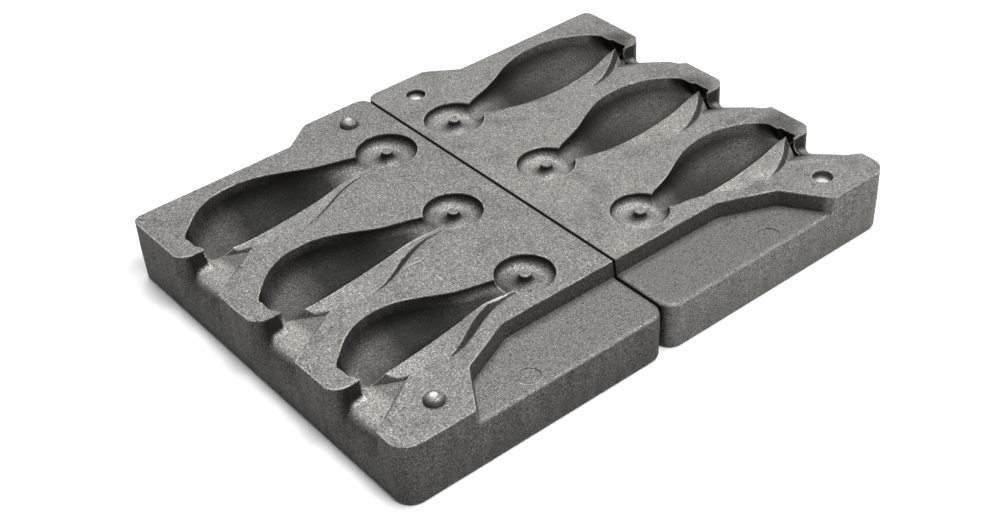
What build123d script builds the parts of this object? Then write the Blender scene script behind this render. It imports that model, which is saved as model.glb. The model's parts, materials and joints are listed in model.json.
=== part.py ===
from build123d import *
import os
from math import atan2, degrees

# Open fishing sinker mould: two cast aluminium halves side by side, parting faces up.
# The seam lies along Y at X = 0, the pin half is at -X and the socket half at +X.
# Both halves are made at +X and the pin half is then mirrored over the seam.

# Plate, seen from above
half_width = 70.0
front_edge = -54.75
back_edge = 49.0
tab_edge = 54.75
tab_end = 18.4
tab_slope_end = 26.3
front_corner_radius = 4.5
back_corner_radius = 2.4
front_seam_radius = 4.2
back_seam_radius = 3.2
slope_radius = 1.6
seam_gap = 0.3

# Plate, in height
plate_thickness = 16.0
crease_height = 8.0
skirt_taper = 1.8
base_round = 0.8

# Clamping ledge along the front
ledge_depth = 4.0
ledge_edge = -37.6
ledge_bend = (31.2, -37.6)
ledge_knee = (44.8, -43.6)
ledge_end = (52.3, -55.4)
ledge_bend_radius = 5.0
ledge_knee_radius = 2.6
ledge_wall_taper = 8.0
ledge_rim_round = 1.2

# Domed locating pins of one half and the hollows for them in the other
pin_places = ((10.3, 47.0), (56.2, -47.0))
pin_radius = 2.25
pin_height = 1.7
pin_crown = 1.45
socket_clearance = 0.2

# The three castings: ring centre, ring radius, half width of the body and reach of its front edge
ring_places = ((10.3, 31.4), (13.9, 0.9), (16.9, -27.9))
ring_radii = (7.5, 7.0, 6.8)
hole_radius = 1.3
body_half_widths = (13.1, 12.8, 11.55)
front_reaches = (7.4, 5.6, 4.9)
neck_half_width = 3.5
body_margin = 5.5
body_roundness = 0.9

# Twisted part of the parting face beside each casting
edge_rises = (1.0, 1.3, 1.7)
edge_drop = 1.9
neck_rises = (0.4, 1.0, 1.9)
end_drop = 1.9
key_clearance = 0.15
key_overlap = 2.4
key_draft = 0.75
key_rise = 3.0
key_root = 4.0
blade_margin = 1.5
least_band = 1.1

# Pouring funnels in the outer edge
funnel_back = 1.3
funnel_fronts = (20.5, 19.5, 18.8)
funnel_length = 15.0
funnel_start_reaches = (10.6, 10.4, 9.4)
funnel_flare_length = 3.8
horn_offset = 4.1
horn_length = 6.8
funnel_depth = 6.4
funnel_run_in = 0.26
funnel_foot_radius = 2.0
lip_length = 2.2
lip_fall = 2.2
lip_radius = 4.0
pin_funnel_rise = 0.16
socket_funnel_rise = 0.45
gate_margin = 9.0
gate_reach = 2.8
overrun = 2.0

# Bounds by which edges to be rounded are told apart
pick_margin = 0.1
foot_cover = 2.0
mouth_margin = 0.8
rim_margin = 2.5

# Round marks of the ejector pins on the clamping ledge
ejector_place = (35.0, -50.4)
ejector_radius = 2.6
ejector_depth = 0.2

# Share of the body length, half width there, width of the twisted strip there, reach of the front
# edge, share of the neck's half width, and heights of the twisted face at its two borders
stations = (
    (0.105, 0.15, 0.36, 0.00, 0.72, 0.05, 0.00),
    (0.20, 0.34, 0.38, 0.10, 1.00, 0.55, 0.30),
    (0.30, 0.48, 0.49, 0.40, 1.00, 1.00, 0.55),
    (0.40, 0.68, 0.68, 0.75, 1.00, 0.90, 1.00),
    (0.50, 0.88, 0.87, 0.95, 1.00, 0.55, 0.80),
    (0.60, 0.99, 0.97, 1.00, 1.00, 0.12, 0.20),
    (0.70, 1.00, 0.96, 0.95, 1.00, -0.25, -0.45),
    (0.78, 0.945, 0.85, 0.80, 1.00, -0.62, -0.85),
    (0.85, 0.835, 0.67, 0.60, 1.00, -0.90, -1.20),
    (0.91, 0.68, 0.48, 0.40, 1.00, -1.05, -1.60),
    (0.95, 0.53, 0.36, 0.26, 1.00, -1.05, -1.80),
    (0.98, 0.345, 0.30, 0.14, 1.00, -0.30, -1.80),
    (1.00, 0.12, 0.30, 0.00, 0.50, 0.00, -1.80),
)
strip_end = 10


def station_values(index):
    """Place, back and front half widths, strip width and face heights at each station."""
    ring_x = ring_places[index][0]
    length = half_width - body_margin - ring_x
    for share, width, strip, reach, neck, edge, border in stations:
        back = width * body_half_widths[index]
        far = strip * body_half_widths[index]
        front = neck * neck_half_width + reach * (front_reaches[index] - neck_half_width)
        rise = edge * (edge_rises[index] if edge > 0 else edge_drop)
        outer = border * (neck_rises[index] if border > 0 else end_drop)
        yield ring_x + share * length, back, front, far, rise, outer


def section_plane(x, y, z):
    """A plane across one casting, with its own X along the mould's Y."""
    return Plane(origin=(x, y, z), x_dir=(0, 1, 0), z_dir=(1, 0, 0))


def body(index, lift):
    """The sinker's body: tilted ellipses from the neck to the thick end."""
    ring_y = ring_places[index][1]
    with BuildPart() as solid:
        for x, back, front, _, rise, _ in station_values(index):
            half = (back + front) / 2
            tilt = -degrees(atan2(lift * rise, back + front))
            middle = section_plane(x, ring_y + (back - front) / 2, plate_thickness + lift * rise / 2)
            with BuildSketch(middle.rotated((0, 0, tilt))):
                Ellipse(half, half * body_roundness)
        loft()
    return solid.part


def eye(index):
    """The ring of the sinker, round in section, about its hole."""
    tube = (ring_radii[index] - hole_radius) / 2
    with BuildPart() as solid:
        with Locations(Plane(origin=(*ring_places[index], plate_thickness))):
            Torus(hole_radius + tube, tube)
    return solid.part


def strip_plan(index, height, gap):
    """Plan of the twisted strip beside a casting, at a height from the parting plane."""
    ring_y = ring_places[index][1]
    rows = list(station_values(index))[:strip_end]
    inner = [(x, ring_y - front + key_overlap) for x, _, front, _, _, _ in rows]
    outer = [(x, ring_y - far - gap) for x, _, _, far, _, _ in rows]
    with BuildSketch(Plane.XY.offset(plate_thickness + height)) as plan:
        with BuildLine():
            Spline(*inner)
            Line(inner[-1], outer[-1])
            Spline(*outer)
            Line(outer[0], inner[0])
        make_face()
    return plan.sketch


def strip_block(index, root, tip, gap):
    """The strip as a block with a drafted outer wall, from its wide root to its narrow tip."""
    with BuildPart() as block:
        add(strip_plan(index, root, gap + key_draft * abs(root)))
        add(strip_plan(index, tip, gap - key_draft * abs(tip)))
        loft()
    return block.part


def twisted_block(index, lift):
    """All that lies under the twisted face, as wide as the strip and reaching past its ends."""
    ring_y = ring_places[index][1]
    floor = -3 * key_root
    with BuildPart() as block:
        for x, _, front, far, rise, outer in list(station_values(index))[:strip_end + 1]:
            slope = (outer - rise) / max(far - front, least_band)
            near, beyond = front - key_overlap - blade_margin, far + 2 * blade_margin
            with BuildSketch(section_plane(x, ring_y, plate_thickness)):
                Polygon(
                    (-near, floor),
                    (-near, lift * (rise + slope * (near - front))),
                    (-beyond, lift * (rise + slope * (beyond - front))),
                    (-beyond, floor),
                    align=None)
        loft()
    return block.part


def funnel(index, rise):
    """Pouring funnel: a scoop whose floor falls to the mouth and rises, by its rise, to the front."""
    ring_y = ring_places[index][1]
    horn_y = ring_y - horn_offset
    horn_tip = half_width - horn_length
    past = half_width + overrun
    front = funnel_fronts[index]
    start_x, start_reach = half_width - funnel_length, funnel_start_reaches[index]
    gate_x = half_width - gate_margin
    slant = (front - start_reach) / funnel_length
    top = key_root

    with BuildSketch(Plane.XY.offset(plate_thickness + top)) as plan:
        with BuildLine():
            wall = Line((horn_tip, horn_y), (half_width - funnel_flare_length, horn_y))
            flare = TangentArc(wall @ 1, (half_width, ring_y - funnel_back), tangent=wall % 1)
            run_out = Line(flare @ 1, flare @ 1 + flare % 1 * overrun)
            Polyline(
                run_out @ 1, (past, (run_out @ 1).Y), (past, ring_y - front - overrun * slant),
                (start_x, ring_y - start_reach), (gate_x, ring_y - gate_reach),
                (horn_tip, ring_y - gate_reach), wall @ 0)
        make_face()

    lip = half_width - lip_length
    inner = start_x - overrun
    behind = horn_y + front
    with BuildSketch(Plane(origin=(0, behind, plate_thickness - rise * front), x_dir=(1, 0, 0),
                           z_dir=(0, -1, 0))) as profile:
        with BuildLine():
            Polyline(
                (inner, 4 * top), (inner, -funnel_depth + funnel_run_in * (half_width - inner)),
                (lip, -funnel_depth + funnel_run_in * lip_length),
                (past, -funnel_depth + funnel_run_in * lip_length - lip_fall * (past - lip)),
                (past, 4 * top), close=True)
        make_face()
        fillet(profile.vertices().sort_by_distance((lip, -funnel_depth, 0))[0], lip_radius)

    with BuildPart() as scoop:
        add(plan.sketch)
        extrude(amount=-plate_thickness - top)
        with BuildPart(mode=Mode.PRIVATE) as air:
            extrude(profile.sketch, amount=3 * front, dir=(0, -1, rise))
        add(air.part, mode=Mode.INTERSECT)
        foot = scoop.edges().filter_by(
            lambda edge: horn_y - pick_margin < edge.center().Y
            and horn_tip < edge.center().X < past - mouth_margin
            and edge.center().Z < plate_thickness - foot_cover
            and abs((edge % 0.5).X) > pick_margin)
        fillet(foot, funnel_foot_radius)
    return scoop.part


def gate_slope(index, rise):
    """The slope by which the pin half's twisted face runs down to the floor of the funnel."""
    ring_y = ring_places[index][1]
    start_reach = funnel_start_reaches[index]
    along = (funnel_length - gate_margin, start_reach - gate_reach)
    with BuildPart() as wedge:
        for inset, reach in ((funnel_length, start_reach), (gate_margin, gate_reach)):
            foot = funnel_run_in * inset - funnel_depth + rise * (reach - horn_offset)
            with BuildSketch(Plane(origin=(half_width - inset, ring_y - reach, plate_thickness),
                                   x_dir=(-along[1], along[0], 0), z_dir=(*along, 0))):
                Polygon((-blade_margin, foot), (0, foot), (key_root - foot, key_root),
                        (-blade_margin, key_root), align=None)
        loft()
    return wedge.part


def plate_outline():
    """Outline of one half, with the tab that carries the rear locating pin."""
    with BuildSketch() as outline:
        with BuildLine():
            Polyline(
                (seam_gap / 2, front_edge), (half_width, front_edge), (half_width, back_edge),
                (tab_slope_end, back_edge), (tab_end, tab_edge), (seam_gap / 2, tab_edge),
                close=True)
        make_face()
        slopes = outline.vertices().filter_by_position(
            Axis.X, tab_end - pick_margin, tab_slope_end + pick_margin)
        fillet(slopes, slope_radius)
        for x, y, radius in (
                (half_width, front_edge, front_corner_radius),
                (half_width, back_edge, back_corner_radius),
                (seam_gap / 2, front_edge, front_seam_radius),
                (seam_gap / 2, tab_edge, back_seam_radius)):
            fillet(outline.vertices().sort_by_distance((x, y, 0))[0], radius)
    return outline.sketch


def ledge_outline():
    """Outline of the clamping ledge, run past the plate on its open sides."""
    with BuildSketch() as outline:
        with BuildLine():
            Polyline(
                (-overrun, ledge_edge), ledge_bend, ledge_knee, ledge_end,
                (ledge_end[0], front_edge - overrun), (-overrun, front_edge - overrun),
                close=True)
        make_face()
        fillet(outline.vertices().sort_by_distance((*ledge_bend, 0))[0], ledge_bend_radius)
        fillet(outline.vertices().sort_by_distance((*ledge_knee, 0))[0], ledge_knee_radius)
    return outline.sketch


def dome(clearance):
    """A locating pin, standing on the XY plane, made larger by a clearance for its hollow."""
    with BuildPart() as pin:
        Cylinder(pin_radius + clearance, pin_height + clearance,
                 align=(Align.CENTER, Align.CENTER, Align.MIN))
        fillet(pin.edges().sort_by(Axis.Z)[-1], pin_crown)
    return pin.part


def make_half(lift):
    """One half at +X. Lift is 1 where the neck side of the twisted face rises, -1 where it sinks."""
    outline = plate_outline()
    has_pins = lift > 0
    gap = 0 if has_pins else key_clearance
    funnel_rise = pin_funnel_rise if has_pins else socket_funnel_rise
    with BuildPart() as half:
        with BuildSketch(Plane.XY.offset(crease_height)):
            add(outline)
        extrude(amount=plate_thickness - crease_height)
        with BuildSketch(Plane.XY.offset(crease_height)):
            add(outline)
        extrude(amount=-crease_height, taper=skirt_taper)
        fillet(half.faces().sort_by(Axis.Z)[0].edges(), base_round)

        with BuildSketch(Plane.XY.offset(plate_thickness)):
            add(ledge_outline())
        extrude(amount=-ledge_depth, taper=ledge_wall_taper, mode=Mode.SUBTRACT)
        ledge = half.faces().filter_by(Axis.Z).sort_by(Axis.Z)[-2]
        rim = ledge.edges().filter_by(lambda edge: edge.center().Y < ledge_end[1] + rim_margin
                                      or edge.center().X < front_seam_radius)
        fillet(rim, ledge_rim_round)

        for index in range(len(ring_places)):
            block = twisted_block(index, lift)
            with BuildPart(mode=Mode.PRIVATE) as pocket:
                add(strip_block(index, 0, -key_rise, gap))
                add(block, mode=Mode.SUBTRACT)
            with BuildPart(mode=Mode.PRIVATE) as key:
                add(strip_block(index, -key_root, key_rise, -gap))
                add(block, mode=Mode.INTERSECT)
            add(pocket.part, mode=Mode.SUBTRACT)
            if has_pins:
                add(key.part)
            add(funnel(index, funnel_rise), mode=Mode.SUBTRACT)
            if has_pins:
                add(gate_slope(index, funnel_rise), mode=Mode.SUBTRACT)
            else:
                add(key.part)
            add(body(index, lift), mode=Mode.SUBTRACT)
            add(eye(index), mode=Mode.SUBTRACT)

        for place in pin_places:
            if has_pins:
                with Locations((*place, plate_thickness)):
                    add(dome(0))
            else:
                with Locations(Location((*place, plate_thickness), (180, 0, 0))):
                    add(dome(socket_clearance), mode=Mode.SUBTRACT)

        with Locations((*ejector_place, plate_thickness - ledge_depth)):
            Cylinder(ejector_radius, 2 * ejector_depth, mode=Mode.SUBTRACT)
    return half.part


os.makedirs("parts", exist_ok=True)

socket_half = make_half(-1)
socket_half.label = "socket_half"
export_step(socket_half, "parts/socket_half.step")

pin_half = mirror(make_half(1), about=Plane.YZ)
pin_half.label = "pin_half"
export_step(pin_half, "parts/pin_half.step")
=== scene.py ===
"""Looks of an open fishing sinker mould: two die cast aluminium halves on a white studio floor."""

import json
import logging
import math
from dataclasses import dataclass
from enum import Enum
from typing import Any, Mapping, Optional

import bpy
from mathutils import Matrix, Vector

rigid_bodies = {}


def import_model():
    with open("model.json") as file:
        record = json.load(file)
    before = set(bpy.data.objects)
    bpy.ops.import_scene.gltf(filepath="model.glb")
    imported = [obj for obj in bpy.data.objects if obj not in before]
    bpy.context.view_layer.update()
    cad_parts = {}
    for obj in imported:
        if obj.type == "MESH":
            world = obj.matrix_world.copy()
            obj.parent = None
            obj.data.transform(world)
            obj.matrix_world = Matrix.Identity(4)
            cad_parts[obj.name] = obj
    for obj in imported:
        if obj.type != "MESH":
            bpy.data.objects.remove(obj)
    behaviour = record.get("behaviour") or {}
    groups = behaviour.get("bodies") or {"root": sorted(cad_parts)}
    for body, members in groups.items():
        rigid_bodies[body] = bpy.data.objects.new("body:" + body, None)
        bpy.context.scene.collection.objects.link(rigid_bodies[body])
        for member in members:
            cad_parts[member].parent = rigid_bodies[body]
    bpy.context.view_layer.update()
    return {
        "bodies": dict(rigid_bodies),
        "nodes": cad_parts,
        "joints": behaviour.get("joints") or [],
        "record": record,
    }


LOG = logging.getLogger("sinker_mould")

MM = 0.001

# Places of the colour sockets on a colour mix node
MIX_FACTOR, MIX_A, MIX_B, MIX_RESULT = 0, 6, 7, 2

# Rays that look for an edge or an inner corner at each point
RAYS = 2

# The sRGB curve: straight up to its knee, a power above it
SRGB_KNEE, SRGB_SLOPE, SRGB_OFFSET, SRGB_POWER = 0.04045, 12.92, 0.055, 2.4

Socket = bpy.types.NodeSocket
Tree = bpy.types.NodeTree
Point = tuple[float, float, float]
Colour = tuple[float, float, float, float]


def linear(hex_colour: str) -> Colour:
    """Turns an sRGB hex colour into the linear colour that a shader takes.

    Args:
        hex_colour: Six hex digits after a #.

    Returns:
        Linear red, green and blue, with an alpha of one.
    """
    parts = (int(hex_colour[start:start + 2], 16) / 255 for start in (1, 3, 5))
    red, green, blue = (
        part / SRGB_SLOPE if part <= SRGB_KNEE
        else ((part + SRGB_OFFSET) / (1 + SRGB_OFFSET)) ** SRGB_POWER
        for part in parts)
    return red, green, blue, 1.0


def per_mm(feature: float) -> float:
    """Gives the texture scale at which a feature is as wide as asked.

    Args:
        feature: Width of one feature, in millimetres.

    Returns:
        The scale, for coordinates in metres.
    """
    return 1.0 / (feature * MM)


def add_node(tree: Tree, kind: str, inputs: Optional[Mapping[Any, Any]] = None,
             output: Any = 0, **settings: Any) -> Socket:
    """Adds a node, sets it up and links what feeds it.

    Args:
        tree: The node tree that takes the node.
        kind: Blender's name for the kind of node, without its leading "ShaderNode".
        inputs: Input names or numbers, each with a plain value or the socket that feeds it.
        output: Name or number of the wanted output.
        **settings: Attributes of the node.

    Returns:
        The wanted output, or the node's first input if it has no outputs.
    """
    node = tree.nodes.new("ShaderNode" + kind)
    for name, value in settings.items():
        setattr(node, name, value)
    for key, value in (inputs or {}).items():
        if isinstance(value, Socket):
            tree.links.new(value, node.inputs[key])
        else:
            node.inputs[key].default_value = value
    return node.outputs[output] if node.outputs else node.inputs[0]


def new_tree(name: str) -> tuple[bpy.types.Material, Tree]:
    """Makes an empty material.

    Args:
        name: The material's name.

    Returns:
        The material and its emptied node tree.
    """
    material = bpy.data.materials.new(name)
    material.use_nodes = True
    material.node_tree.nodes.clear()
    return material, material.node_tree


def facing_up(tree: Tree, normal: str) -> Socket:
    """Measures how far the surface faces up.

    Args:
        tree: The material's node tree.
        normal: "Normal" for the smooth surface or "True Normal" for its facets.

    Returns:
        One on a level face and zero on an upright wall.
    """
    return add_node(tree, "SeparateXYZ", {0: add_node(tree, "NewGeometry", output=normal)}, "Z")


@dataclass(frozen=True)
class Fade:
    """How an amount follows a measure, such as a height, a slope or a noise.

    Attributes:
        start: The measure at which the amount is least.
        full: The measure at which it is most.
        least: The least amount.
        most: The most.
    """

    start: float
    full: float
    least: float = 0.0
    most: float = 1.0


@dataclass(frozen=True)
class Pattern:
    """An uneven pattern in the metal.

    Attributes:
        width: Width of one feature, in millimetres.
        detail: How many finer layers it has.
        roughness: How strong each finer layer is beside the one before it.
    """

    width: float
    detail: float
    roughness: float = 0.5


class Wear(Enum):
    """What a mark is: a nick, a painted shadow, painted shade, a scratch or a painted highlight.
    """

    # Nicks, and painted shadows
    NICK_AND_SHADOW = "stain"
    # Painted shade
    SHADE = "shade"
    # Scratches, and painted highlights
    SCRATCH_AND_HIGHLIGHT = "shine"


@dataclass(frozen=True)
class Mark:
    """A nick, scratch, painted highlight, painted shade or painted shadow.

    Attributes:
        place: Its middle, in millimetres in the mould's frame.
        length: Length in millimetres.
        width: Width in millimetres.
        angle: Turn from the X axis about the vertical, in degrees.
        wear: What it does to the metal.
    """

    place: Point
    length: float
    width: float
    angle: float = 0.0
    wear: Wear = Wear.NICK_AND_SHADOW


@dataclass(frozen=True)
class Zones:
    """Zones that both halves share, each with where it starts and where it is full.

    The places are in millimetres in the mould's frame. Slopes are one on a level face and zero
    on an upright wall.

    Attributes:
        behind: Along Y, behind the ledge, where the cavities lie.
        before: Along Y, in front of the ledge's back wall.
        below: Height, just under the parting face.
        sunk: Height, well under it.
        raised: Height, above it, on what stands up from it.
        eyeward: From the seam, on the side of the sinkers' eyes.
        ledgeward: From the seam, short of the ledge's outer end.
        hornward: From the seam, about the tips of the horns.
        within: From the seam, short of the outer wall.
        amid: From the middle along Y, short of the front and back walls.
        central: From the middle along Y, short of the pins.
        gentle: Slope, on all but the most level floors.
        bank: Slope, on banks.
        wall: Slope, on walls.
        shallow: Slope, on floors.
        patchy: Cloud noise, which makes the soot and its painted shade uneven.
    """

    behind: Fade = Fade(-37.4, -36.4)
    before: Fade = Fade(-36.4, -37.4)
    below: Fade = Fade(15.9, 15.5)
    sunk: Fade = Fade(15.6, 13.4)
    raised: Fade = Fade(16.05, 16.25)
    eyeward: Fade = Fade(46.0, 34.0)
    ledgeward: Fade = Fade(60.0, 58.0)
    hornward: Fade = Fade(61.0, 62.5)
    within: Fade = Fade(69.0, 67.0)
    amid: Fade = Fade(53.5, 52.5)
    central: Fade = Fade(45.0, 44.0)
    gentle: Fade = Fade(0.95, 0.80)
    bank: Fade = Fade(0.85, 0.50)
    wall: Fade = Fade(0.75, 0.30)
    shallow: Fade = Fade(0.60, 0.85)
    patchy: Fade = Fade(-0.8, 0.4)


@dataclass(frozen=True)
class BlastedCastAluminium:
    """Die cast aluminium, blasted matt: a dull grey that sparkles grain by grain.

    Attributes:
        name: Name of the material.
        face_hex: Colour of the blasted parting face.
        stain_hex: Colour of handling stains on it, and the darker tone laid over the ledge's
            floor.
        steep_shade_hex: Painted shade: colour of the steeper faces.
        soot_and_shade_hex: Colour of the cavities: soot from hot lead, darkened further as painted
            shade.
        bare_and_highlight_hex: Colour of the funnels that the poured lead keeps bare, painted
            paler as a highlight.
        grime_and_shade_hex: Colour of nicks, and of painted shade and shadow, with some soot on
            inner walls.
        shade_hex: Painted shade on the ledge's walls.
        shade_veil_hex: Tint of painted shade over the outer ends of the blades.
        streak_hex: Colour of the streaks on the steeper faces, within their painted shade.
        scratch_and_highlight_hex: Colour of bright scratches, and of painted highlights on edges,
            pins and hollows.
        pit_hex: Tint of the darkest grains.
        metallic: Share of metal in the shader.
        roughness: Middle roughness.
        gloss_swing: How far the roughness strays from it either way.
        grain: The blasted grains.
        fleck: Coarser flecks among them.
        cloud: Stains, and the unevenness of the casting.
        streak: Streaks that the die left on the steeper faces.
        draw: How far the streaks are drawn out upright, as width over height.
        grain_depth: Depth of the grain, in millimetres.
        wave_depth: Depth of the cast unevenness, in millimetres.
        edge_round: Radius to which edges look rounded, in millimetres.
        rim: Width of the painted highlights along outer edges, in millimetres.
        corner: Reach of the painted shade from an inner corner, in millimetres.
        seam: Painted shade in the seam over the distance from its middle, in millimetres.
        stained: Stains over the cloud noise.
        steep_shaded: Painted shade of the steeper faces over the slope.
        streaked: Streaks over their noise.
        glossed: Gloss over the fleck noise.
        pitted: Dark grains over the fleck noise.
        specked: Brightness of the light grains over the grain noise.
        corner_shaded: Painted shade in corners over how open the surroundings are.
        corner_shaded_patchy: Its patches over the cloud noise.
        corner_shaded_sloped: Its strength over the slope.
        edge_highlit: Painted highlights on edges over how thick the metal is.
        edge_highlit_flecked: Their breaks over the fleck noise.
        edge_highlit_patchy: Their weaker stretches over the cloud noise.
        marked: Strength of a mark over the distance from its middle, one at its outline.
        zones: The zones that the soot, the painted shade and the bare funnels follow.
        lean: How much deeper the soot and painted shade stay per millimetre outwards, in
            millimetres.
        soot_and_shade_height: Height at which the soot and painted shade start and are full on a
            level floor
        at the seam, in millimetres. With a lean, they come down outwards.
        soot_and_shade_begun: Distance from the seam over which the soot and painted shade set in,
            in millimetres.
        soot_and_shade_thinned: Distance from the seam over which it thins out, outer end first, in
            millimetres.
        bare_and_highlit: Distance from the seam over which the funnels turn bare and highlit, in
            millimetres.
        marks: Nicks, scratches, painted highlights, painted shade and painted shadows.
    """

    name: str = "blasted_die_cast_aluminium"
    face_hex: str = "#7a7976"
    stain_hex: str = "#6c6a67"
    steep_shade_hex: str = "#5b5a58"
    soot_and_shade_hex: str = "#3a3937"
    bare_and_highlight_hex: str = "#a09e9a"
    grime_and_shade_hex: str = "#1f1e1c"
    shade_hex: str = "#4a4946"
    shade_veil_hex: str = "#a8a7a2"
    streak_hex: str = "#494845"
    scratch_and_highlight_hex: str = "#e2e0da"
    pit_hex: str = "#403f3c"
    metallic: float = 0.6
    roughness: float = 0.54
    gloss_swing: float = 0.12
    # Real blasting leaves grains of about 0.1 mm. A pixel of the render covers 0.2 mm, so the
    # grain is drawn coarser than it is, and so is its relief.
    grain: Pattern = Pattern(0.26, 2.0, 0.6)
    fleck: Pattern = Pattern(0.45, 3.0, 0.7)
    cloud: Pattern = Pattern(9.0, 6.0, 0.6)
    streak: Pattern = Pattern(2.6, 4.0)
    draw: float = 0.22
    grain_depth: float = 0.05
    wave_depth: float = 0.12
    edge_round: float = 0.5
    rim: float = 0.4
    corner: float = 1.6
    seam: Fade = Fade(0.52, 0.4)
    stained: Fade = Fade(0.45, 0.75)
    steep_shaded: Fade = Fade(0.9, 0.4)
    streaked: Fade = Fade(0.35, 0.7)
    glossed: Fade = Fade(0.35, 0.65)
    pitted: Fade = Fade(0.46, 0.30)
    specked: Fade = Fade(0.52, 0.72, 1.0, 3.7)
    corner_shaded: Fade = Fade(0.85, 0.35, 0.0, 0.75)
    corner_shaded_patchy: Fade = Fade(0.3, 0.6, 0.5)
    corner_shaded_sloped: Fade = Fade(1.0, 0.7, 0.4)
    edge_highlit: Fade = Fade(0.95, 0.70)
    edge_highlit_flecked: Fade = Fade(0.40, 0.52, 0.2)
    edge_highlit_patchy: Fade = Fade(0.45, 0.58, 0.1)
    marked: Fade = Fade(1.0, 0.5, 0.0, 0.8)
    zones: Zones = Zones()
    lean: float = 0.15
    soot_and_shade_height: Fade = Fade(19.5, 18.1)
    soot_and_shade_begun: Fade = Fade(14.0, 26.0)
    soot_and_shade_thinned: Fade = Fade(68.0, 46.0)
    bare_and_highlit: Fade = Fade(60.0, 61.5)
    marks: tuple[Mark, ...] = ()

    def material(self) -> bpy.types.Material:
        """Builds the material.

        Returns:
            The metal, with its colour, gloss and relief.
        """
        material, tree = new_tree(self.name)
        place = add_node(tree, "TexCoord", output="Object")
        grain, fleck, cloud = (
            add_node(tree, "TexNoise", {"Vector": place, "Scale": per_mm(pattern.width),
                                        "Detail": pattern.detail,
                                        "Roughness": pattern.roughness})
            for pattern in (self.grain, self.fleck, self.cloud))
        relief = add_node(tree, "Bevel", {"Radius": self.edge_round * MM}, samples=RAYS)
        colour = self._stains_and_steep_shade(tree, place, cloud)
        colour = self._soot_and_shade(tree, place, cloud, colour)
        colour = self._grains(tree, grain, fleck, colour)
        colour = self._edges(tree, place, fleck, cloud, colour)
        for mark in self.marks:
            colour = self._mark(tree, place, mark, colour)
        for height, depth in ((cloud, self.wave_depth), (grain, self.grain_depth)):
            relief = add_node(tree, "Bump", {"Height": height, "Distance": depth * MM,
                                             "Normal": relief})
        rough = add_node(tree, "MapRange", {"Value": fleck, "From Min": self.glossed.start,
                                            "From Max": self.glossed.full,
                                            "To Min": self.roughness + self.gloss_swing,
                                            "To Max": self.roughness - self.gloss_swing})
        surface = add_node(tree, "BsdfPrincipled",
                           {"Base Color": colour, "Metallic": self.metallic,
                            "Roughness": rough, "Normal": relief})
        add_node(tree, "OutputMaterial", {"Surface": surface})
        return material

    def _stains_and_steep_shade(self, tree: Tree, place: Socket, cloud: Socket) -> Socket:
        """Lays stains on the flat faces and painted shade on the steeper ones, which the die left
        streaked.

        Args:
            tree: The material's node tree.
            place: Coordinates in the mould's frame.
            cloud: Noise as coarse as a stain.

        Returns:
            The colour with its stains, streaks and painted shade.
        """
        drawn = add_node(tree, "Mapping", {"Vector": place, "Scale": (1.0, 1.0, self.draw)})
        streak = add_node(tree, "TexNoise", {"Vector": drawn, "Scale": per_mm(self.streak.width),
                                             "Detail": self.streak.detail,
                                             "Roughness": self.streak.roughness})
        stained, steep, streaked = (
            add_node(tree, "MapRange", {"Value": value, "From Min": fade.start,
                                        "From Max": fade.full}, interpolation_type=curve)
            for value, fade, curve in (
                (cloud, self.stained, "SMOOTHSTEP"),
                (facing_up(tree, "True Normal"), self.steep_shaded, "SMOOTHSTEP"),
                (streak, self.streaked, "LINEAR")))
        face, steep_shade = (
            add_node(tree, "Mix", {MIX_FACTOR: share, MIX_A: linear(base), MIX_B: linear(tone)},
                     MIX_RESULT, data_type="RGBA")
            for share, base, tone in ((stained, self.face_hex, self.stain_hex),
                                      (streaked, self.steep_shade_hex, self.streak_hex)))
        # Painted shade: the steeper a face, the more it takes the darker colour
        return add_node(tree, "Mix", {MIX_FACTOR: steep, MIX_A: face, MIX_B: steep_shade}, MIX_RESULT,
                        data_type="RGBA")

    def _shares(self, tree: Tree, place: Socket, cloud: Socket) -> dict[str, Socket]:
        """Measures how far a point lies in each zone.

        Args:
            tree: The material's node tree.
            place: Coordinates in the mould's frame.
            cloud: Noise as coarse as a stain.

        Returns:
            Shares from zero to one, by the names of the zones.
        """
        x, y, z = (add_node(tree, "SeparateXYZ", {0: place}, axis) for axis in "XYZ")
        across, along = (add_node(tree, "Math", {0: side}, operation="ABSOLUTE")
                         for side in (x, y))
        leant = add_node(tree, "Math", {0: across, 1: self.lean}, operation="MULTIPLY")
        leant = add_node(tree, "Math", {0: leant, 1: z}, operation="ADD")
        upward = facing_up(tree, "Normal")
        zones = self.zones
        places = {
            "behind": (y, zones.behind),
            "before": (y, zones.before),
            "below": (z, zones.below),
            "sunk": (z, zones.sunk),
            "raised": (z, zones.raised),
            "deep": (leant, self.soot_and_shade_height),
            "begun": (across, self.soot_and_shade_begun),
            "thinned": (across, self.soot_and_shade_thinned),
            "bare_and_highlit": (across, self.bare_and_highlit),
            "eyeward": (across, zones.eyeward),
            "ledgeward": (across, zones.ledgeward),
            "hornward": (across, zones.hornward),
            "within": (across, zones.within),
            "amid": (along, zones.amid),
            "central": (along, zones.central),
        }
        unitless = {
            "gentle": (upward, zones.gentle),
            "bank": (upward, zones.bank),
            "wall": (upward, zones.wall),
            "shallow": (upward, zones.shallow),
            "patchy": (cloud, zones.patchy),
        }
        shares = {name: add_node(tree, "MapRange", {"Value": value, "From Min": fade.start * unit,
                                                    "From Max": fade.full * unit})
                  for unit, measures in ((MM, places), (1.0, unitless))
                  for name, (value, fade) in measures.items()}
        # Soot and its painted shade hold on all that slopes and on level floors that lie deep
        # enough
        shares["held"] = add_node(tree, "Math", {0: shares["gentle"], 1: shares["deep"]},
                                  operation="MAXIMUM")
        return shares

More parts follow.
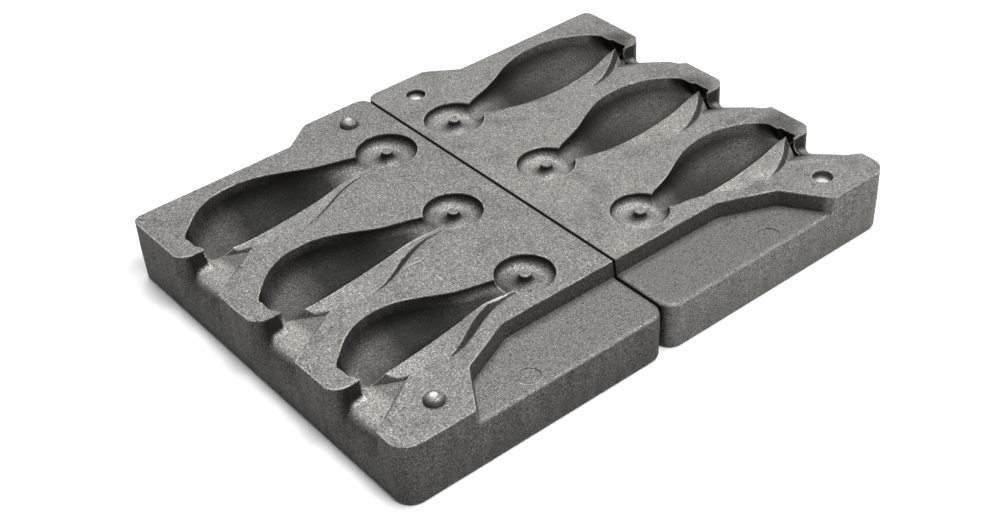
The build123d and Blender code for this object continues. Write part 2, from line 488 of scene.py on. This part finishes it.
    def _soot_and_shade(self, tree: Tree, place: Socket, cloud: Socket, colour: Socket) -> Socket:
        """Paints soot and shade in cavities, shade on walls, a darker ledge and highlit bare
        funnels.

        Args:
            tree: The material's node tree.
            place: Coordinates in the mould's frame.
            cloud: Noise as coarse as a stain.
            colour: Colour so far.

        Returns:
            The colour with the soot, the painted shade and the painted highlight.
        """
        shares = self._shares(tree, place, cloud)
        # Each tone lies where all its zones meet: soot with painted shade in the cavities, a
        # painted highlight on the bare funnels, painted shade with some soot on the walls by the
        # eyes and the horns, painted shade on the ledge's walls and on raised banks, and a darker
        # tone on the ledge itself
        layers = (
            (self.soot_and_shade_hex, ("behind", "sunk", "held", "begun", "thinned", "patchy")),
            (self.bare_and_highlight_hex, ("sunk", "shallow", "bare_and_highlit", "within")),
            (self.grime_and_shade_hex, ("behind", "below", "wall", "eyeward", "amid")),
            (self.grime_and_shade_hex, ("below", "bank", "hornward", "within", "amid")),
            (self.shade_hex, ("before", "below", "bank", "amid", "ledgeward")),
            (self.stain_hex, ("before", "below", "shallow", "ledgeward")),
            (self.grime_and_shade_hex, ("raised", "bank", "central")),
        )
        for tone, (first, *others) in layers:
            amount = shares[first]
            for name in others:
                amount = add_node(tree, "Math", {0: amount, 1: shares[name]},
                                  operation="MULTIPLY")
            colour = add_node(tree, "Mix", {MIX_FACTOR: amount, MIX_A: colour,
                                            MIX_B: linear(tone)}, MIX_RESULT, data_type="RGBA")
        return colour

    def _grains(self, tree: Tree, grain: Socket, fleck: Socket, colour: Socket) -> Socket:
        """Scatters light and dark grains.

        Args:
            tree: The material's node tree.
            grain: Noise as fine as the blasting.
            fleck: Coarser noise.
            colour: Colour so far.

        Returns:
            The colour with its grains.
        """
        pits, specks = (
            add_node(tree, "MapRange", {"Value": value, "From Min": fade.start,
                                        "From Max": fade.full, "To Min": fade.least,
                                        "To Max": fade.most})
            for value, fade in ((fleck, self.pitted), (grain, self.specked)))
        colour = add_node(tree, "Mix", {MIX_FACTOR: pits, MIX_A: colour,
                                        MIX_B: linear(self.pit_hex)}, MIX_RESULT,
                          data_type="RGBA", blend_type="MULTIPLY")
        return add_node(tree, "VectorMath", {0: colour, "Scale": specks}, operation="SCALE")

    def _edges(self, tree: Tree, place: Socket, fleck: Socket, cloud: Socket,
               colour: Socket) -> Socket:
        """Paints shade in the inner corners and the seam and highlights on the outer edges.

        Args:
            tree: The material's node tree.
            place: Coordinates in the mould's frame.
            fleck: Coarse grain, which breaks up the rims.
            cloud: Noise as coarse as a stain, which breaks up the painted highlights and shade.
            colour: Colour so far.

        Returns:
            The colour with painted highlights on rims and painted shade.
        """
        # Looking outwards finds the inner corners, looking into the metal finds the outer edges
        open_sky, metal = (
            add_node(tree, "AmbientOcclusion", {"Distance": reach * MM}, "AO", samples=RAYS,
                     only_local=True, inside=inside)
            for reach, inside in ((self.corner, False), (self.rim, True)))
        across = add_node(tree, "SeparateXYZ", {0: place}, "X")
        across = add_node(tree, "Math", {0: across}, operation="ABSOLUTE")
        corner_shade, corner_shade_patches, corner_shade_slopes, edge_highlight, breaks, stretches, seam = (
            add_node(tree, "MapRange", {"Value": value, "From Min": fade.start * unit,
                                        "From Max": fade.full * unit, "To Min": fade.least,
                                        "To Max": fade.most})
            for value, unit, fade in (
                (open_sky, 1.0, self.corner_shaded),
                (cloud, 1.0, self.corner_shaded_patchy),
                (facing_up(tree, "Normal"), 1.0, self.corner_shaded_sloped),
                (metal, 1.0, self.edge_highlit),
                (fleck, 1.0, self.edge_highlit_flecked),
                (cloud, 1.0, self.edge_highlit_patchy),
                (across, MM, self.seam)))
        # Painted shade in inner corners, painted highlights on outer edges, painted shade in the
        # seam
        for share, thinned_by, tone in ((corner_shade, (corner_shade_patches, corner_shade_slopes), self.grime_and_shade_hex),
                                        (edge_highlight, (breaks, stretches), self.scratch_and_highlight_hex),
                                        (seam, (), self.grime_and_shade_hex)):
            for thinner in thinned_by:
                share = add_node(tree, "Math", {0: share, 1: thinner}, operation="MULTIPLY")
            colour = add_node(tree, "Mix", {MIX_FACTOR: share, MIX_A: colour,
                                            MIX_B: linear(tone)}, MIX_RESULT, data_type="RGBA")
        return colour

    def _mark(self, tree: Tree, place: Socket, mark: Mark, colour: Socket) -> Socket:
        """Lays one nick, scratch, painted highlight, painted shade or painted shadow over the
        colour.

        Args:
            tree: The material's node tree.
            place: Coordinates in the mould's frame.
            mark: The mark.
            colour: Colour so far.

        Returns:
            The colour with the mark.
        """
        reach, breadth = mark.length * MM / 2, mark.width * MM / 2
        local = add_node(tree, "Mapping",
                         {"Vector": place, "Location": tuple(c * MM for c in mark.place),
                          "Rotation": (0.0, 0.0, math.radians(mark.angle)),
                          "Scale": (reach, breadth, reach)}, vector_type="TEXTURE")
        away = add_node(tree, "VectorMath", {0: local}, "Value", operation="LENGTH")
        share = add_node(tree, "MapRange", {"Value": away, "From Min": self.marked.start,
                                            "From Max": self.marked.full,
                                            "To Min": self.marked.least,
                                            "To Max": self.marked.most},
                         interpolation_type="SMOOTHSTEP")
        # Dark marks are nicks and painted shadows, shade marks painted shade, bright marks
        # scratches and painted highlights
        tone, blend = {Wear.NICK_AND_SHADOW: (self.grime_and_shade_hex, "MIX"),
                       Wear.SHADE: (self.shade_veil_hex, "MULTIPLY"),
                       Wear.SCRATCH_AND_HIGHLIGHT: (self.scratch_and_highlight_hex, "MIX")}[mark.wear]
        return add_node(tree, "Mix", {MIX_FACTOR: share, MIX_A: colour, MIX_B: linear(tone)},
                        MIX_RESULT, data_type="RGBA", blend_type=blend)


@dataclass(frozen=True)
class StudioPaper:
    """Smooth white paper that stays white to the camera and dimmer to the mould.

    Attributes:
        name: Name of the material.
        cast_hex: Pale grey with which it lights the mould.
        gain: How much brighter it is to the camera alone, over the distance from the mould's
            middle in metres. It turns the paper white, also where the lamps hardly reach it.
    """

    name: str = "seamless_studio_paper"
    cast_hex: str = "#c4c4c4"
    gain: Fade = Fade(0.15, 1.6, 1.9, 12.0)

    def material(self) -> bpy.types.Material:
        """Builds the material.

        Returns:
            A matt white that keeps shadows.
        """
        material, tree = new_tree(self.name)
        seen = add_node(tree, "LightPath", output="Is Camera Ray")
        place = add_node(tree, "NewGeometry", output="Position")
        away = add_node(tree, "VectorMath", {0: place}, "Value", operation="LENGTH")
        gain = add_node(tree, "MapRange", {"Value": away, "From Min": self.gain.start,
                                           "From Max": self.gain.full,
                                           "To Min": self.gain.least,
                                           "To Max": self.gain.most})
        gain = add_node(tree, "MapRange", {"Value": seen, "To Min": 1.0, "To Max": gain})
        colour = add_node(tree, "VectorMath", {0: linear(self.cast_hex)[:3], "Scale": gain},
                          operation="SCALE")
        surface = add_node(tree, "BsdfDiffuse", {"Color": colour})
        add_node(tree, "OutputMaterial", {"Surface": surface})
        return material


@dataclass(frozen=True)
class SinkerMould:
    """The two halves of the mould, as packed.

    Attributes:
        pin_half: Finish of the half with the locating pins, the copy in darker painted shade.
        socket_half: Finish of the half with the hollows, the copy painted paler as better lit.
    """

    # Shaded copy for the half that lies in the shade: dark, dull cavities between grainy faces, in
    # painted shade
    pin_half: BlastedCastAluminium = BlastedCastAluminium(
        name="blasted_die_cast_aluminium_sooty_shaded_copy",
        soot_and_shade_hex="#131211",
        marks=(
            # Nicks along the outer edge
            Mark((-68.4, 47.2, 16.0), 2.4, 0.5, -55.0),
            Mark((-65.6, 36.0, 16.0), 2.6, 0.45, 85.0),
            Mark((-66.0, -45.6, 16.0), 3.4, 0.3, 88.0),
            Mark((-65.8, -48.8, 16.0), 3.0, 0.3, 95.0),
            # Scratches on the parting face
            Mark((-32.2, -8.8, 16.0), 6.5, 0.25, -6.0, Wear.SCRATCH_AND_HIGHLIGHT),
            Mark((-31.4, -16.8, 16.0), 3.6, 0.25, -85.0, Wear.SCRATCH_AND_HIGHLIGHT),
            # Painted shadow along the front edges of the funnels
            Mark((-62.5, 15.9, 14.0), 20.0, 0.7, 33.4),
            Mark((-62.5, -14.0, 14.0), 19.0, 0.7, 31.2),
            Mark((-62.5, -42.0, 14.0), 19.0, 0.7, 32.1),
            # Painted highlights on top of the pins
            Mark((-56.2, -47.0, 18.0), 2.2, 2.2, 0.0, Wear.SCRATCH_AND_HIGHLIGHT),
            Mark((-10.3, 47.0, 18.0), 2.2, 2.2, 0.0, Wear.SCRATCH_AND_HIGHLIGHT),
        ))
    # Lit copy: faces, steeper faces and cavities painted paler where this half takes more light
    socket_half: BlastedCastAluminium = BlastedCastAluminium(
        name="blasted_die_cast_aluminium_lit_copy",
        steep_shade_hex="#7c7b77",
        streak_hex="#6b6a66",
        face_hex="#858480",
        soot_and_shade_hex="#363532",
        bare_and_highlight_hex="#858582",
        specked=Fade(0.52, 0.72, 1.0, 3.0),
        lean=0.0,
        soot_and_shade_height=Fade(14.2, 12.6),
        soot_and_shade_begun=Fade(18.0, 32.0),
        soot_and_shade_thinned=Fade(66.0, 64.0),
        bare_and_highlit=Fade(64.0, 65.5),
        marks=(
            # Nicks on the parting face and in a cavity's edge
            Mark((37.2, -33.6, 16.0), 1.7, 0.3, 60.0),
            Mark((38.2, -34.2, 16.0), 1.7, 0.3, -10.0),
            Mark((48.9, 26.3, 15.6), 1.4, 0.6, 20.0),
            Mark((50.6, 25.6, 15.2), 1.6, 0.5, -20.0),
            Mark((52.0, 24.0, 15.2), 1.5, 0.5, 40.0),
            # Scratches
            Mark((52.4, 6.6, 13.0), 4.6, 0.35, 25.0, Wear.SCRATCH_AND_HIGHLIGHT),
            Mark((53.1, 13.3, 16.0), 1.5, 0.6, -30.0, Wear.SCRATCH_AND_HIGHLIGHT),
            # Painted highlights in the hollows for the pins
            Mark((56.2, -47.0, 14.1), 4.2, 4.2, 0.0, Wear.SCRATCH_AND_HIGHLIGHT),
            Mark((10.3, 47.0, 14.1), 4.2, 4.2, 0.0, Wear.SCRATCH_AND_HIGHLIGHT),
            # Painted shade on the outer ends of the blades
            Mark((62.0, -26.5, 17.0), 20.0, 14.0, 20.0, Wear.SHADE),
            Mark((61.0, 1.0, 17.0), 20.0, 14.0, 20.0, Wear.SHADE),
            Mark((61.0, 31.0, 17.0), 20.0, 14.0, 20.0, Wear.SHADE),
            # Painted highlights on the nubs by the gates
            Mark((64.2, -30.0, 12.0), 2.4, 2.4, 0.0, Wear.SCRATCH_AND_HIGHLIGHT),
            Mark((62.2, -2.4, 12.0), 2.4, 2.4, 0.0, Wear.SCRATCH_AND_HIGHLIGHT),
            Mark((62.7, 27.4, 12.0), 2.4, 2.4, 0.0, Wear.SCRATCH_AND_HIGHLIGHT),
        ))

    def dress(self, frame: Mapping[str, Any]) -> None:
        """Gives each half its material.
        """
        for name, finish in (("pin_half", self.pin_half), ("socket_half", self.socket_half)):
            metal = finish.material()
            for slot in frame["nodes"][name].material_slots:
                slot.material = metal
            LOG.info("dressed %s in %s", name, metal.name)


@dataclass(frozen=True)
class Softbox:
    """A square lamp.

    Attributes:
        name: Name of the lamp.
        place: Its middle, in metres.
        size: Side length, in metres.
        power: Power in watts.
        target: Point that it faces, in metres.
    """

    name: str
    place: Point
    size: float
    power: float
    target: Point = (0.0, 0.0, 0.0)

    def build(self) -> None:
        """Puts the lamp in the scene."""
        light = bpy.data.lights.new(self.name, "AREA")
        light.size = self.size
        light.energy = self.power
        lamp = bpy.data.objects.new(self.name, light)
        lamp.location = self.place
        facing = Vector(self.target) - Vector(self.place)
        lamp.rotation_euler = facing.to_track_quat("-Z", "Y").to_euler()
        bpy.context.scene.collection.objects.link(lamp)


@dataclass(frozen=True)
class Studio:
    """White floor, dim surroundings and soft light from behind, above and the right.

    Attributes:
        floor_size: Side length of the floor, in metres.
        paper: Finish of the floor.
        white_hex: Colour of the surroundings.
        fill: Strength of the light from all round.
        lamps: The lamps.
    """

    floor_size: float = 8.0
    paper: StudioPaper = StudioPaper()
    white_hex: str = "#ffffff"
    fill: float = 0.18
    lamps: tuple[Softbox, ...] = (
        Softbox("back_softbox", (0.30, 0.85, 2.25), 1.0, 34.0),
        Softbox("top_softbox", (0.04, -0.34, 0.70), 0.4, 4.2),
        Softbox("side_softbox", (0.60, -0.30, 0.55), 0.3, 2.4),
    )

    def build(self) -> None:
        """Puts floor, surroundings and lamps in the scene."""
        bpy.ops.mesh.primitive_plane_add(size=self.floor_size)
        floor = bpy.context.active_object
        floor.name = "studio_floor"
        floor.data.materials.append(self.paper.material())
        self._surroundings()
        for lamp in self.lamps:
            lamp.build()
        LOG.info("built the studio with %d lamps", len(self.lamps))

    def _surroundings(self) -> None:
        """Makes the surroundings white to the camera and dim to the mould."""
        world = bpy.data.worlds.new("studio_surroundings")
        bpy.context.scene.world = world
        world.use_nodes = True
        tree = world.node_tree
        tree.nodes.clear()
        seen = add_node(tree, "LightPath", output="Is Camera Ray")
        strength = add_node(tree, "MapRange", {"Value": seen, "To Min": self.fill, "To Max": 1.0})
        light = add_node(tree, "Background", {"Strength": strength,
                                              "Color": linear(self.white_hex)})
        add_node(tree, "OutputWorld", {"Surface": light})


@dataclass(frozen=True)
class PhotoCamera:
    """The camera, fitted to where the photograph was taken from.

    Attributes:
        azimuth: Turn round the mould, in degrees; 0 looks along +Y.
        elevation: Height above the horizon, in degrees.
        roll: Turn about the line of sight, in degrees.
        distance: Distance from the target, in millimetres.
        target: Point looked at, in millimetres.
        lens: Focal length, in millimetres.
        sensor: Width of the sensor, in millimetres.
        nearest: Nearest distance that it shows, in metres.
    """

    azimuth: float = -37.316
    elevation: float = 37.399
    roll: float = -3.514
    distance: float = 348.937
    target: Point = (-19.17, -22.25, 16.0)
    lens: float = 58.135
    sensor: float = 36.0
    nearest: float = 0.01

    def build(self) -> None:
        """Puts the camera in the scene, makes it the scene's own and keeps its colours plain."""
        turn, rise, roll = (math.radians(a) for a in (self.azimuth, self.elevation, self.roll))
        back = Vector((math.sin(turn) * math.cos(rise), -math.cos(turn) * math.cos(rise),
                       math.sin(rise)))
        level = (-back).cross(Vector((0.0, 0.0, 1.0))).normalized()
        upright = level.cross(-back)
        right = level * math.cos(roll) + upright * math.sin(roll)
        up = upright * math.cos(roll) - level * math.sin(roll)
        lens = bpy.data.cameras.new("photo_camera")
        lens.sensor_width = self.sensor
        lens.lens = self.lens
        lens.clip_start = self.nearest
        camera = bpy.data.objects.new("photo_camera", lens)
        turned = Matrix((right, up, back)).transposed().to_4x4()
        place = (Vector(self.target) + back * self.distance) * MM
        camera.matrix_world = Matrix.Translation(place) @ turned
        bpy.context.scene.collection.objects.link(camera)
        bpy.context.scene.camera = camera
        bpy.context.scene.view_settings.view_transform = "Standard"
        LOG.info("put the camera %.0f mm from the mould", self.distance)


def main() -> None:
    """Builds the whole scene."""
    logging.basicConfig(level=logging.INFO, format="%(name)s: %(message)s")
    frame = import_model()
    SinkerMould().dress(frame)
    Studio().build()
    PhotoCamera().build()


if __name__ == "__main__":
    main()
